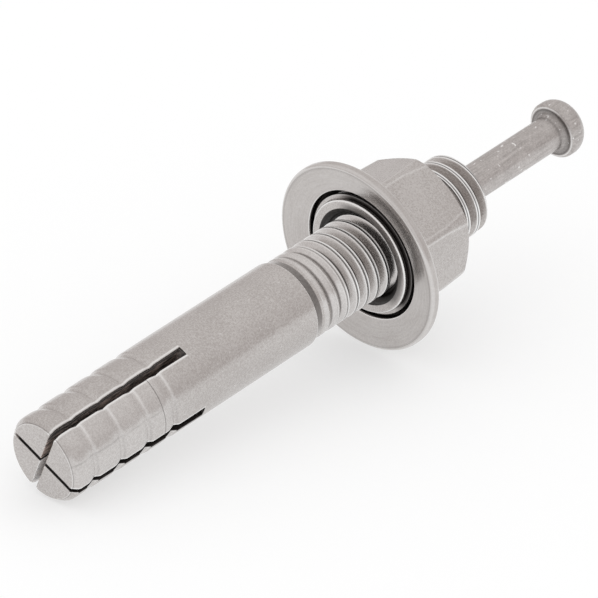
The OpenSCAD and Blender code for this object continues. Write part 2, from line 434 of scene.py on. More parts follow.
@dataclass(frozen=True)
class SteelFinish:
    """A satin stainless steel surface.

    The colours are linear. Marks are counted for each millimetre.
    """

    name: str
    pale: Colour
    deep: Colour
    # Colour of the painted highlights, and of the painted light on a sawn wall
    edge: Colour
    roughness: float
    grain: Grain
    wear_cover: float = 0.95
    # Near-black colour of the painted shade; also the dark of the saw streaks
    soil: Colour = (0.014, 0.011, 0.010, 1.0)
    soil_cover: float = 0.88
    soil_speckle: float = 0.2
    soil_dull: float = 0.3
    saw: Colour = (0.66, 0.53, 0.47, 1.0)
    saw_marks: tuple[float, float, float] = (2.4, 2.4, 0.55)
    saw_span: Span = (0.36, 0.66)
    saw_cover: float = 0.95
    saw_dull: float = 0.4
    saw_unmetal: float = 0.8
    grain_per_mm: float = 5.0
    grain_tone: float = 1.5
    grain_height: float = 0.006
    grain_dull: float = 0.16
    lines_share: float = 0.6
    bump_strength: float = 0.5
    streak: float = 0.06
    turned_streak: float = 0.6
    cloud_per_mm: float = 0.22
    cloud_tone: float = 0.7
    cloud_dull: float = 0.10
    nick_per_mm: float = 2.2
    nick_span: Span = (0.71, 0.74)
    nick_share: float = 0.0
    nick_depth: float = 1.5
    nick_gloss: float = 0.12

    def marks_place(self, graph: NodeGraph, place: Wire) -> Wire:
        """Stretch the place so that the fine marks run as the grain does.

        Args:
            graph: The material's graph.
            place: Place along the axis, in millimetres.

        Returns:
            The stretched place.
        """
        if self.grain is Grain.TUMBLED:
            return place
        if self.grain is Grain.DRAWN:
            inputs = {0: place, 1: (1.0, 1.0, self.streak)}
            return graph.add("ShaderNodeVectorMath", {"operation": "MULTIPLY"}, inputs)
        parts = graph.node("ShaderNodeSeparateXYZ", {}, {0: place})
        x, y, z = (Wire(graph, s) for s in parts.outputs)
        radius = (x * x + y * y).math("SQRT")
        around = y.math("ARCTAN2", x)
        return graph.add("ShaderNodeCombineXYZ", {}, {0: radius, 1: around * self.turned_streak, 2: z})

    def material(self, axis: AnchorAxis) -> bpy.types.Material:
        """Build the material.

        Args:
            axis: The axis that the grain follows.

        Returns:
            The material.
        """
        made = bpy.data.materials.new(self.name)
        made.use_nodes = True
        graph = NodeGraph(made.node_tree)
        seen = graph.add("ShaderNodeTexCoord", {}, {}, out="Object")
        turn = {"Vector": seen, "Location": axis.tip, "Rotation": (0, math.pi / 2 - axis.tilt, 0)}
        along = graph.add("ShaderNodeMapping", {"vector_type": "TEXTURE"}, turn)
        scale = {0: along, "Scale": 1 / METRES_PER_MM}
        place = graph.add("ShaderNodeVectorMath", {"operation": "SCALE"}, scale)
        cloud = graph.noise(place, self.cloud_per_mm, detail=3.0)
        speckle = graph.noise(place, self.grain_per_mm, detail=3.0, roughness=0.6)
        marks = self.marks_place(graph, place)
        lines = graph.noise(marks, self.grain_per_mm, detail=4.0, roughness=0.65)
        nicks = graph.noise(place, self.nick_per_mm, detail=1.0, roughness=0.4)
        nicks = nicks.step(*self.nick_span) * self.nick_share
        wear, grime, sawn = (
            graph.add("ShaderNodeAttribute", {"attribute_name": name}, {}, out="Fac")
            for name in (HIGHLIGHT, PAINTED_SHADE, SAWN)
        )

        clouding = cloud - 0.5
        tone = clouding * self.cloud_tone + (speckle + lines - 1) * self.grain_tone + 0.5
        body = graph.mix(tone.step(0.0, 1.0), self.deep, self.pale)
        # Painted highlights, and real nicks, in the edge colour
        highlit_and_nicked = graph.mix((wear * self.wear_cover).math("MAXIMUM", nicks), body, self.edge)
        # Painted shade, mottled by the speckle, towards the near-black colour
        cover = grime * (self.soil_cover + speckle * self.soil_speckle)
        darkened = graph.mix(cover, highlit_and_nicked, self.soil)
        stretch = {0: place, 1: self.saw_marks}
        strokes = graph.add("ShaderNodeVectorMath", {"operation": "MULTIPLY"}, stretch)
        strokes = graph.noise(strokes, 1.0, detail=3.0, roughness=0.7).step(*self.saw_span)
        streaks = graph.mix(strokes, self.soil, self.saw)
        # Painted light on a sawn wall, in the edge colour
        wall = graph.mix(wear, streaks, self.edge)
        colour = graph.mix(sawn * (1 - grime) * self.saw_cover, darkened, wall)

        rough = self.roughness + (lines - 0.5) * self.grain_dull + clouding * self.cloud_dull
        rough = rough - nicks * self.nick_gloss + sawn * self.saw_dull + grime * self.soil_dull
        height = lines * self.lines_share + speckle * (1 - self.lines_share) - nicks * self.nick_depth
        depth = self.grain_height * METRES_PER_MM
        bump = {"Strength": self.bump_strength, "Distance": depth, "Height": height}
        inputs = {
            "Base Color": colour,
            "Metallic": 1 - sawn * self.saw_unmetal,
            "Roughness": rough,
            "Normal": graph.add("ShaderNodeBump", {}, bump),
        }
        surface = graph.add("ShaderNodeBsdfPrincipled", {}, inputs)
        graph.node("ShaderNodeOutputMaterial", {}, {"Surface": surface})
        return made


SATIN: Colour = (0.60, 0.575, 0.56, 1.0)
SHADE: Colour = (0.47, 0.44, 0.425, 1.0)
WIRE: Colour = (0.62, 0.588, 0.572, 1.0)
WIRE_SHADE: Colour = (0.365, 0.34, 0.328, 1.0)
BRIGHT: Colour = (0.95, 0.945, 0.94, 1.0)

STUD_STEEL = SteelFinish(
    "satin_stud", SATIN, SHADE, BRIGHT, roughness=0.26, grain=Grain.TUMBLED, nick_share=0.2
)
NAIL_STEEL = SteelFinish(
    "drawn_nail",
    WIRE,
    WIRE_SHADE,
    BRIGHT,
    roughness=0.34,
    grain=Grain.DRAWN,
    cloud_per_mm=0.6,
    cloud_tone=0.5,
    grain_tone=1.1,
    nick_share=0.8,
)
NUT_STEEL = SteelFinish("satin_nut", SATIN, SHADE, BRIGHT, roughness=0.28, grain=Grain.TUMBLED)
WASHER_STEEL = SteelFinish(
    "satin_washer", SATIN, SHADE, BRIGHT, roughness=0.22, grain=Grain.TURNED, grain_tone=1.0
)


@dataclass(frozen=True)
class ThreadRule:
    """A screw thread as a rule for radius at an angle and a height.

    The skin runs from start to end. It deepens over the run-out, stays under a chamfer
    at either end, and stays over a countersink at either end.
    """

    TURNS_BEFORE: ClassVar[int] = 2
    TURNS_AFTER: ClassVar[int] = 1
    # Shares of the depth, or of the seam, over which painted shade and painted highlight set in
    ROOT_SOIL: ClassVar[Span] = (0.85, 0.99)
    SEAM_SOIL: ClassVar[Span] = (0.2, 0.9)
    CREST_WEAR: ClassVar[Span] = (0.0, 0.15)
    FLANK_WEAR: ClassVar[Span] = (0.7, 0.95)
    # Millimetres before and after the height where the painted light on the flanks fades out
    DULL_SPAN: ClassVar[Span] = (-2.0, 2.0)

    pitch: float
    crest_radius: float
    depth: float
    start: float
    end: float
    turn: float
    run_out: float = 0.001
    start_radius: float = 100.0
    end_radius: float = 100.0
    start_sink_radius: float = 0.0
    end_sink_radius: float = 0.0
    crest_share: float = 0.32
    root_share: float = 0.125
    seam_share: float = 0.18
    seam_depth: float = 0.0
    soil: float = 0.0
    least_root_soil: float = 0.4
    flank_wear: float = 0.3
    dull_from: float = 52.0
    columns: int = 160
    rows_per_pitch: int = 20

    @property
    def rows(self) -> int:
        """Rows of faces, with spare turns before the start and after the end, all drawn in."""
        turns = (self.end - self.start) / self.pitch + self.TURNS_BEFORE + self.TURNS_AFTER
        return math.ceil(turns * self.rows_per_pitch)

    def sizes(self) -> dict[str, float | int]:
        """Values of the tree's named inputs, one for each field and one for the rows."""
        values = {field.name: getattr(self, field.name) for field in fields(self)}
        values["rows"] = self.rows
        return {name.replace("_", " ").capitalize(): value for name, value in values.items()}

    def tree(self, name: str) -> bpy.types.NodeTree:
        """Build the Geometry Nodes tree of a thread skin.

        Args:
            name: Name of the tree.

        Returns:
            The tree, with an input for each size and one for the material.
        """
        tree = bpy.data.node_groups.new(name, "GeometryNodeTree")
        graph = NodeGraph(tree)
        tree.interface.new_socket("Geometry", in_out="OUTPUT", socket_type="NodeSocketGeometry")
        for label, value in self.sizes().items():
            kind = "NodeSocketInt" if isinstance(value, int) else "NodeSocketFloat"
            tree.interface.new_socket(label, in_out="INPUT", socket_type=kind)
        tree.interface.new_socket("Material", in_out="INPUT", socket_type="NodeSocketMaterial")
        given = graph.node("NodeGroupInput", {}, {})
        size = {socket.name: Wire(graph, socket) for socket in given.outputs if socket.name}

        counts = {"Vertices X": size["Columns"] + 1, "Vertices Y": size["Rows"] + 1}
        grid = {"Size X": 1.0, "Size Y": 1.0, **counts}
        sheet = graph.add("GeometryNodeMeshGrid", {}, grid, out="Mesh")
        spot = graph.node("ShaderNodeSeparateXYZ", {}, {0: graph.add("GeometryNodeInputPosition", {}, {})})
        around = Wire(graph, spot.outputs["X"]) + 0.5
        row_height = size["Pitch"] / size["Rows per pitch"]
        up = (Wire(graph, spot.outputs["Y"]) + 0.5) * size["Rows"] * row_height
        height = size["Start"] + up + (around + size["Turn"] - self.TURNS_BEFORE) * size["Pitch"]
        z = height.math("MAXIMUM", size["Start"]).math("MINIMUM", size["End"])

        phase = (z - size["Start"]) / size["Pitch"] - around - size["Turn"]
        wave = (phase.math("FRACT") - 0.5).math("ABSOLUTE") * 2
        flank = (wave - size["Root share"]) / (1 - size["Crest share"] - size["Root share"])
        cut = 1 - flank.math("MAXIMUM", 0.0).math("MINIMUM", 1.0)
        deepening = ((z - size["Start"]) / size["Run out"]).math("MINIMUM", 1.0)
        seam = (1 - ((1 - wave) / size["Seam share"]).math("MINIMUM", 1.0)) * deepening
        full = size["Crest radius"] - size["Depth"] * cut * deepening - size["Seam depth"] * seam
        topped = full.math("MINIMUM", size["Start radius"] + z - size["Start"])
        ended = topped.math("MINIMUM", size["End radius"] + size["End"] - z)
        sunk = ended.math("MAXIMUM", size["Start sink radius"] - (z - size["Start"]))
        radius = sunk.math("MAXIMUM", size["End sink radius"] - (size["End"] - z))

        # Painted shade in the roots and the seam, and at least soil over the whole skin
        root = cut.step(*self.ROOT_SOIL) * deepening.math("MAXIMUM", size["Least root soil"])
        in_seam = seam.step(*self.SEAM_SOIL)
        grime = root.math("MAXIMUM", in_seam).math("MAXIMUM", size["Soil"])
        # Painted highlight along the crests, and painted light on the flanks that fades out at dull_from
        line = (1 - cut.step(*self.CREST_WEAR)) * deepening
        rubbed = (1 - cut.step(*self.FLANK_WEAR)) * size["Flank wear"]
        dull = (z - size["Dull from"]).step(*self.DULL_SPAN)
        wear = line.math("MAXIMUM", rubbed * (1 - dull))

        angle = around * (2 * math.pi)
        place = {0: radius * angle.math("COSINE"), 1: radius * angle.math("SINE"), 2: z}
        for label, mark in ((PAINTED_SHADE, grime), (HIGHLIGHT, wear)):
            kept = {"Geometry": sheet, "Name": label, "Value": mark}
            settings = {"data_type": "FLOAT", "domain": "POINT"}
            sheet = graph.add("GeometryNodeStoreNamedAttribute", settings, kept)
        bent = {"Geometry": sheet, "Position": graph.add("ShaderNodeCombineXYZ", {}, place)}
        skin = graph.add("GeometryNodeSetPosition", {}, bent)
        welded = graph.add("GeometryNodeMergeByDistance", {}, {"Geometry": skin, "Distance": WELD})
        plain = graph.add("GeometryNodeRealizeInstances", {}, {"Geometry": welded})
        dressed = graph.add("GeometryNodeSetMaterial", {}, {"Geometry": plain, "Material": size["Material"]})
        graph.node("NodeGroupOutput", {}, {"Geometry": dressed})
        return tree

    def mesh(self, name: str, material: bpy.types.Material) -> bpy.types.Mesh:
        """Bake the thread skin to a plain mesh, in millimetres along the axis.

        Args:
            name: Name of the tree and of the mesh.
            material: Finish of the thread.

        Returns:
            The mesh, an open sleeve.
        """
        tree = self.tree(name)
        holder = bpy.data.objects.new(name, bpy.data.meshes.new(name))
        bpy.context.scene.collection.objects.link(holder)
        modifier = holder.modifiers.new(name, "NODES")
        modifier.node_group = tree
        values = {**self.sizes(), "Material": material}
        for item in tree.interface.items_tree:
            if item.in_out == "INPUT":
                modifier[item.identifier] = values[item.name]
        graph = bpy.context.evaluated_depsgraph_get()
        baked = bpy.data.meshes.new_from_object(holder.evaluated_get(graph))
        bpy.data.objects.remove(holder)
        return baked


def ring_edges(mesh: bmesh.types.BMesh, z: float, first: int = 0) -> list[bmesh.types.BMEdge]:
    """Open edges of a mesh at one height.

    Args:
        mesh: The mesh.
        z: Height above the tip.
        first: Number of the first edge that is asked.

    Returns:
        The edges.
    """
    mesh.edges.ensure_lookup_table()
    edges = [e for e in mesh.edges[first:] if e.is_boundary]
    return [e for e in edges if all(abs(v.co.z - z) < SAME_HEIGHT for v in e.verts)]


def join_rings(mesh: bmesh.types.BMesh, *loops: Sequence[bmesh.types.BMEdge]) -> None:
    """Join two rings about the axis with triangles, going round both by angle.

    Args:
        mesh: The mesh that holds both rings.
        loops: The edges of the two rings.
    """
    rings = []
    for edges in loops:
        verts = {v for e in edges for v in e.verts}
        rings.append(sorted(verts, key=lambda v: math.atan2(v.co.y, v.co.x)))
    first, second = rings

    def angle(ring: Sequence[bmesh.types.BMVert], i: int) -> float:
        """Angle of a ring's point, counted on past a whole turn."""
        turn, at = divmod(i, len(ring))
        return math.atan2(ring[at].co.y, ring[at].co.x) + 2 * math.pi * turn

    i = j = 0
    while i < len(first) or j < len(second):
        here, there = first[i % len(first)], second[j % len(second)]
        if j >= len(second) or (i < len(first) and angle(first, i + 1) <= angle(second, j + 1)):
            i += 1
            mesh.faces.new((here, first[i % len(first)], there))
        else:
            j += 1
            mesh.faces.new((here, second[j % len(second)], there))


def sew_thread(mesh: bmesh.types.BMesh, rule: ThreadRule, skin: bpy.types.Mesh, low_z: float) -> None:
    """Sew a thread's skin to the open rings of a mesh.

    Args:
        mesh: The mesh, with one open ring below the thread and one at its end.
        rule: The thread.
        skin: Its skin.
        low_z: Height of the ring below the thread.
    """
    rings = [ring_edges(mesh, z) for z in (low_z, rule.end)]
    before = len(mesh.edges)
    mesh.from_mesh(skin)
    ends = [ring_edges(mesh, z, before) for z in (rule.start, rule.end)]
    for ring, end in zip(rings, ends):
        join_rings(mesh, ring, end)


def finish_piece(
    name: str,
    mesh: bmesh.types.BMesh,
    axis: AnchorAxis,
    material: bpy.types.Material,
    sharp_deg: float = 34.0,
) -> bpy.types.Object:
    """Turn a mesh's faces outward, count its open edges, lay it on the axis and make it an object.

    Args:
        name: Name of the piece.
        mesh: Its mesh in millimetres along the axis; it is freed.
        axis: Where it lies.
        material: Its finish.
        sharp_deg: Angle beyond which an edge stays sharp.

    Returns:
        The object, at the origin.
    """
    bmesh.ops.recalc_face_normals(mesh, faces=mesh.faces)
    open_edges = sum(not e.is_manifold for e in mesh.edges)
    mesh.transform(axis.matrix())
    data = bpy.data.meshes.new(name)
    mesh.to_mesh(data)
    mesh.free()
    data.materials.clear()
    data.materials.append(material)
    data.polygons.foreach_set("material_index", np.zeros(len(data.polygons), dtype=np.int32))
    data.polygons.foreach_set("use_smooth", np.ones(len(data.polygons), dtype=bool))
    data.set_sharp_from_angle(angle=math.radians(sharp_deg))
    piece = bpy.data.objects.new(name, data)
    bpy.context.scene.collection.objects.link(piece)
    LOG.info("%s: %d faces, %d open edges", name, len(data.polygons), open_edges)
    return piece


@dataclass
class Stud:
    """The slotted, grooved stud with its thread and its bore."""

    LEGS: ClassVar[int] = 4
    # Painted highlight across the rounding of a slot's edge: on most legs, then beside and on the near leg
    EDGE_WEAR: ClassVar[tuple[float, ...]] = (0.0, 0.7, 1.0, 0.7, 0.0)
    BESIDE_WEAR: ClassVar[tuple[float, ...]] = (0.8, 0.8, 0.1, 0.0, 0.0)
    NEAR_WEAR: ClassVar[tuple[float, ...]] = (0.6, 1.0, 1.0, 1.0, 0.8)
    FAR_WEAR: ClassVar[tuple[float, ...]] = (1.0, 1.0, 0.8, 0.3, 0.0)
    # Places across a leg's outside, and how bright the painted highlights on the grooves are there
    GROOVE_FADE: ClassVar[tuple[tuple[float, ...], ...]] = ((0.0, 0.35, 0.6, 1.0), (1.0, 0.9, 0.15, 0.1))
    # Places across the scribed line in widths, and its depth there in depths
    SCRIBE_SHAPE: ClassVar[tuple[Span, ...]] = ((-1, 0), (-0.4, 1), (0.4, 1), (1, 0))

    axis: AnchorAxis
    finish: SteelFinish
    shank_d: float = 10.0
    shank_l: float = 35.4
    shoulder_l: float = 1.1
    neck_d: float = 9.3
    neck_l: float = 0.4
    join_l: float = 0.15
    thread_d: float = 9.5
    thread_l: float = 25.9
    thread_chamfer: float = 0.45
    thread_pitch: float = 1.5875
    thread_depth: float = 0.82
    thread_turn: float = 218.0
    thread_seam: float = 0.06
    run_out: float = 5.2
    slot_l: float = 18.6
    slot_root_w: float = 1.0
    wide_slot_tip_w: float = 0.65
    narrow_slot_tip_w: float = 0.35
    slot_overrun: float = 1.0
    slot_turn: float = 28.0
    slot_edge_r: float = 0.18
    slot_ease_l: float = 0.12
    slot_ease_w: float = 0.06
    core_share: float = 1.02
    root_gap: float = 0.02
    root_fade: float = 0.08
    shade_turn: float = 225.0
    shade_span: Span = (0.3, 0.65)
    shoulder_soil: float = 0.36
    shoulder_edge: float = 0.12
    shoulder_fall: float = 0.05
    neck_rise: float = 0.03
    pale_leg: int = 0
    leg_pinch: float = 0.16
    leg_hinge_l: float = 0.8
    tip_face_z: float = 0.045
    tip_chamfer_w: float = 0.54
    tip_chamfer_l: float = 0.7
    tip_line: tuple[Span, Span] = ((0.07, 0.085), (0.13, 0.16))
    tip_line_soil: float = 0.4
    tip_edge: float = 0.03
    groove_count: int = 4
    groove_first: float = 3.0
    groove_step: float = 3.76
    groove_depth: float = 0.3
    groove_lead_l: float = 0.9
    groove_back_l: float = 0.6
    groove_wear: float = 0.7
    groove_soil: float = 0.2
    far_groove_share: float = 0.5
    scribe_z: float = 12.8
    scribe_w: float = 0.06
    scribe_depth: float = 0.025
    scribe_soil: float = 0.5
    scribed_leg: int = 2
    rubbed: float = 0.17
    rubbed_fade_l: float = 3.0
    streak: float = 0.14
    streak_ripple: float = 0.5
    streak_waves: float = 2.3
    soiled_leg: int = 3
    soiled_in_groove: int = 3
    groove_margin: float = 0.02
    bore_r: float = 2.06
    bore_end_z: float = 3.5
    bore_end_r: float = 0.8
    bore_cone_l: float = 3.4
    mouth_r: float = 2.46
    mouth_l: float = 0.46
    face_inset: float = 0.1
    wall_points: int = 7
    arc_points: int = 40
    gap_points: int = 3
    bore_points: int = 7

    @property
    def shank_r(self) -> float:
        """Radius of the plain shank."""
        return self.shank_d / 2

    @property
    def thread_z(self) -> float:
        """Height where the thread begins."""
        return self.shank_l + self.shoulder_l + self.neck_l

    @property
    def end_z(self) -> float:
        """Height of the threaded end."""
        return self.thread_z + self.thread_l

    def leg_r(self, z: float) -> float:
        """Radius of the pinched legs at a height."""
        low_r = self.shank_r - self.leg_pinch
        hinge_z = self.slot_l - self.leg_hinge_l
        share = (z - self.tip_chamfer_l) / (hinge_z - self.tip_chamfer_l)
        return low_r + self.leg_pinch * min(1.0, max(0.0, share))

    def outline(self) -> list[OutlinePoint]:
        """Outside of the stud from the tip's face to the start of the thread."""
        low_r = self.shank_r - self.leg_pinch
        face_r = low_r - self.tip_chamfer_w
        (line_r, line_z), (clean_r, clean_z) = self.tip_line
        corners = [
            Corner(0, self.tip_face_z),
            # A painted highlight on the rim of the tip's face, and painted shade on the crease beyond it
            Corner(face_r, self.tip_face_z, rounding=0.05, wear=0.5),
            Corner(face_r + line_r, self.tip_face_z + line_z, grime=self.tip_line_soil),
            Corner(face_r + clean_r, self.tip_face_z + clean_z),
            Corner(low_r, self.tip_chamfer_l, rounding=0.3),
        ]
        for i in range(self.groove_count):
            z = self.groove_first + i * self.groove_step
            lead_z, back_z = z - self.groove_lead_l, z + self.groove_back_l
            back_r, half_z = self.leg_r(back_z), z + self.groove_back_l / 2
            # Each groove carries a painted highlight half way up its back flank
            corners += [
                Corner(self.leg_r(lead_z), lead_z, rounding=0.3),
                Corner(self.leg_r(z) - self.groove_depth, z, rounding=0.1),
                Corner(back_r - self.groove_depth / 2, half_z, wear=self.groove_wear),
                Corner(back_r, back_z, rounding=0.1),
            ]
        neck_r, neck_z = self.neck_d / 2, self.shank_l + self.shoulder_l
        # Painted shade on the shoulder; raise_skin keeps it to the side facing shade_turn
        soil, edge = self.shoulder_soil, self.shoulder_edge
        corners += [
            Corner(self.shank_r, self.slot_l - self.leg_hinge_l, rounding=0.3),
            Corner(self.shank_r, self.shank_l, rounding=0.07, wear=0.5),
            Corner(self.shank_r - self.shoulder_fall, self.shank_l + edge, rounding=0.03, grime=soil),
            Corner(neck_r + self.neck_rise, neck_z - edge, rounding=0.05, grime=soil),
            Corner(neck_r, neck_z, rounding=0.05),
            Corner(neck_r, self.thread_z - self.join_l),
        ]
        return rounded_outline(corners)[1:]

    def radius_at(self, outline: Sequence[OutlinePoint], z: float) -> float:
        """Radius of the outline at a height."""
        return float(np.interp(z, [p.z for p in outline], [p.r for p in outline]))

    def half_width(self, wide: bool, z: float) -> float:
        """Half the width of a slot at a height, eased open at the tip's face."""
        tip_w = self.wide_slot_tip_w if wide else self.narrow_slot_tip_w
        share = (z + self.slot_overrun) / (self.slot_l + self.slot_overrun)
        ease = max(0.0, 1 - z / self.slot_ease_l) ** 2 * self.slot_ease_w
        return (tip_w + (self.slot_root_w - tip_w) * share) / 2 + ease

    def bore_at(self, z: float) -> float:
        """Radius of the bore at a height, nothing below its drilled end."""
        if z < self.bore_end_z:
            return 0.0
        share = min(1.0, (z - self.bore_end_z) / self.bore_cone_l)
        return self.bore_end_r + (self.bore_r - self.bore_end_r) * share

    def rounded_edge(self, radius: float, half: float) -> tuple[np.ndarray, float]:
        """Rounding between a slot's wall and the outside of a leg.

        Args:
            radius: Outside radius of the leg.
            half: Half the width of the slot.

        Returns:
            Points from the wall to the outside, and the angle where they end.
        """
        edge = self.slot_edge_r
        centre = np.array([math.sqrt((radius - edge) ** 2 - (half + edge) ** 2), half + edge])
        last = math.atan2(centre[1], centre[0])
        turns = np.linspace(-math.pi / 2, last, EDGE_POINTS)
        return centre + edge * np.stack([np.cos(turns), np.sin(turns)], axis=1), last

    def leg_section(self, leg: int, radius: float, z: float) -> np.ndarray:
        """Closed section of one leg at a height.

        Args:
            leg: Number of the leg, counted round the axis.
            radius: Outside radius.
            z: Height above the tip.

        Returns:
            Points in order: first wall, outside, second wall, bore.
        """
        first = self.half_width(leg % 2 == 0, z)
        second = self.half_width(leg % 2 == 1, z)
        bore = max(self.bore_at(z), self.core_share * math.hypot(first, second))
        near, near_turn = self.rounded_edge(radius, first)
        far, far_turn = self.rounded_edge(radius, second)
        far = far[::-1, ::-1]
        shares = np.linspace(0, 1, self.wall_points)[:-1, None]
        near_in = np.array([math.sqrt(bore**2 - first**2), first])
        far_in = np.array([second, math.sqrt(bore**2 - second**2)])
        turns = np.linspace(near_turn, math.pi / 2 - far_turn, self.arc_points)[1:-1]
        outside = radius * np.stack([np.cos(turns), np.sin(turns)], axis=1)
        back_from, back_to = (math.atan2(p[1], p[0]) for p in (far_in, near_in))
        back = np.linspace(back_from, back_to, self.bore_points)
        inside = bore * np.stack([np.cos(back), np.sin(back)], axis=1)[:-1]
        wall = near_in + (near[0] - near_in) * shares
        return_wall = far[-1] + (far_in - far[-1]) * shares[1:]
        flat = np.concatenate([wall, near, outside, far, return_wall, inside])
        turn = math.radians(self.slot_turn + 360 / self.LEGS * leg)
        spin = np.array([[math.cos(turn), math.sin(turn)], [-math.sin(turn), math.cos(turn)]])
        return np.column_stack([flat @ spin, np.full(len(flat), z)])

    def leg_marks(self, leg: int, point: OutlinePoint) -> dict[str, np.ndarray]:
        """Marks on a leg's section: painted highlights on the slot edges, sawn walls, painted shade in the
        slots.

        Args:
            leg: Number of the leg.
            point: The outline's point at the section's height.

        Returns:
            Wear, soil and saw marks of each point of the section.
        """
        inner = self.wall_points - 2 + self.bore_points - 1
        sides = (self.wall_points - 1, EDGE_POINTS, self.arc_points - 2, EDGE_POINTS, inner)
        near_from, arc_from, far_from, inner_from, _ = np.cumsum(sides)
        near, far = slice(near_from, arc_from), slice(far_from, inner_from)
        on_wall = np.repeat([1.0, 0.0, 0.0, 0.0, 1.0], sides)
        outside = 1 - on_wall
        fade = np.zeros(len(outside))
        across = np.linspace(0, 1, inner_from - near_from)
        fade[near_from:inner_from] = np.interp(across, *self.GROOVE_FADE)
        is_tip = point.z < self.groove_first - self.groove_lead_l
        scribed = leg == self.scribed_leg

        wear = outside * point.wear
        grime = outside * point.grime
        if not is_tip:
            wear = fade * point.wear * (1.0 if scribed else self.far_groove_share)
        if scribed:
            # Painted light on the scribed leg's outside, fading out just above the scribe
            fade_z = (self.scribe_z, self.scribe_z + self.rubbed_fade_l)
            rubbed = self.rubbed * np.interp(point.z, fade_z, (1.0, 0.0))
            wear = np.maximum(wear, outside * rubbed)
        if scribed and not is_tip:
            # Painted shade on the groove flanks away from their painted highlights
            dark = np.clip(outside - fade, 0, 1) * point.wear * self.groove_soil
            grime = np.maximum(grime, dark)
        # Painted highlights on both rounded slot edges; painted shade on the wall point beside each
        wear[near] = wear[far] = np.maximum(self.EDGE_WEAR, point.wear)
        grime[[near_from - 1, inner_from]] = 1.0

        # Painted light over the near wall of the pale leg, which shows as lit as the outside
        if leg == self.pale_leg:
            wear[:near_from] = 1.0
            grime[near_from - 1] = 0.0
        if leg + 1 == self.scribed_leg:
            wear[far] = self.BESIDE_WEAR
        if scribed:
            wear[near] = self.NEAR_WEAR
            wear[far] = self.FAR_WEAR
        # A faint painted shade line along the scribed leg below the scribe, where its reflection turns from
        # darker to paler
        if scribed and point.z < self.scribe_z:
            middle = arc_from + self.arc_points // 2
            ripple = 1 + self.streak_ripple * math.sin(self.streak_waves * point.z)
            grime[middle] = max(grime[middle], self.streak * ripple)
        # Painted shade over the walls of the narrow slot
        narrow_wall = slice(inner_from, None) if leg % 2 == 0 else slice(0, near_from)
        grime[narrow_wall] = 1.0
        # Painted shade widens the dark line at the mouth of one slot and takes its highlight away
        if leg == self.soiled_leg:
            in_groove = point.r < self.leg_r(point.z) - self.groove_margin
            width = self.soiled_in_groove if in_groove else EDGE_POINTS
            darkened = slice(near_from - 1, near_from + width)
            grime[darkened] = 1.0
            wear[darkened] = 0.0
        return {HIGHLIGHT: wear, PAINTED_SHADE: grime, SAWN: on_wall}

    def leg_rows(self, outline: Sequence[OutlinePoint], leg: int) -> list[OutlinePoint]:
        """Rows of a leg, with the scribed line on the leg that has one."""
        rows = [p for p in outline if p.z < self.slot_l - self.root_gap]
        if leg == self.scribed_leg:
            # The scribed line carries painted shade in its hollow
            for shift, depth in self.SCRIBE_SHAPE:
                z = self.scribe_z + shift * self.scribe_w
                r = self.radius_at(outline, z) - depth * self.scribe_depth
                rows.append(OutlinePoint(r, z, grime=self.scribe_soil * depth))
        rows.append(OutlinePoint(self.radius_at(outline, self.slot_l), self.slot_l))
        return sorted(rows, key=lambda p: p.z)

    def blank(self) -> MeshSketch:
        """Legs, shank, neck and bore, open where the thread joins them."""
        sketch = MeshSketch()
        outline = self.outline()
        tops = []
        for leg in range(self.LEGS):
            below: list[int] = []
            for point in self.leg_rows(outline, leg):
                section = self.leg_section(leg, point.r, point.z)
                loop = sketch.row(section, **self.leg_marks(leg, point))
                if not below:
                    inward = section.mean(axis=0) - section
                    below = sketch.row(section + inward * self.tip_edge)
                    sketch.faces.append(below[::-1])
                sketch.strip(below, loop)
                below = loop
            tops.append(below)
        outer, inner = self.slot_roots(sketch, tops)
        clean_z = self.slot_l + self.root_fade
        clean = OutlinePoint(self.radius_at(outline, clean_z), clean_z)
        self.raise_skin(sketch, outer, [clean] + [p for p in outline if p.z > clean_z])
        face_r = self.thread_d / 2 - self.thread_depth - self.face_inset
        mouth = [
            OutlinePoint(self.bore_r, self.end_z - self.mouth_l),
            OutlinePoint(self.mouth_r, self.end_z),
            OutlinePoint(face_r, self.end_z),
        ]
        self.raise_skin(sketch, inner, mouth)
        return sketch

    def slot_roots(self, sketch: MeshSketch, tops: Sequence[list[int]]) -> tuple[list[int], list[int]]:
        """Close the square roots of the slots between the legs.

        Args:
            sketch: The stud's sketch.
            tops: Last row of each leg.

        Returns:
            The whole outer ring and the whole bore ring at the roots.
        """
        first_out = self.wall_points - 1 + EDGE_POINTS - 1
        last_out = first_out + self.arc_points - 1
        bore_from = last_out + first_out
        outer: list[int] = []
        inner: list[int] = []
        for leg, loop in enumerate(tops):
            after = tops[(leg + 1) % len(tops)]
            gap = self.gap_row(sketch, loop[last_out], after[first_out])
            bore_gap = self.gap_row(sketch, loop[bore_from], after[0])
            walls = loop[last_out : bore_from + 1]
            root = walls + bore_gap + after[: first_out + 1] + gap[::-1]
            sketch.faces.append(root)
            outer += loop[first_out : last_out + 1] + gap
            inner += [loop[0]] + loop[bore_from:][::-1] + bore_gap
        return outer, inner

    def gap_row(self, sketch: MeshSketch, start: int, end: int) -> list[int]:
        """Points on the circle across the gap between two legs."""
        a, b = np.array(sketch.points[start]), np.array(sketch.points[end])
        low, high = math.atan2(a[1], a[0]), math.atan2(b[1], b[0])
        high += 2 * math.pi if high < low else 0.0
        turns = np.linspace(low, high, self.gap_points + 2)[1:-1]
        return sketch.row(polar(math.hypot(a[0], a[1]), turns, float(a[2])))

    def raise_skin(self, sketch: MeshSketch, ring: list[int], rows: Sequence[OutlinePoint]) -> None:
        """Carry a ring of points up through further rows."""
        base = np.array([sketch.points[i] for i in ring])
        angles = np.arctan2(base[:, 1], base[:, 0])
        shaded = facing(angles, self.shade_turn, self.shade_span)
        for point in rows:
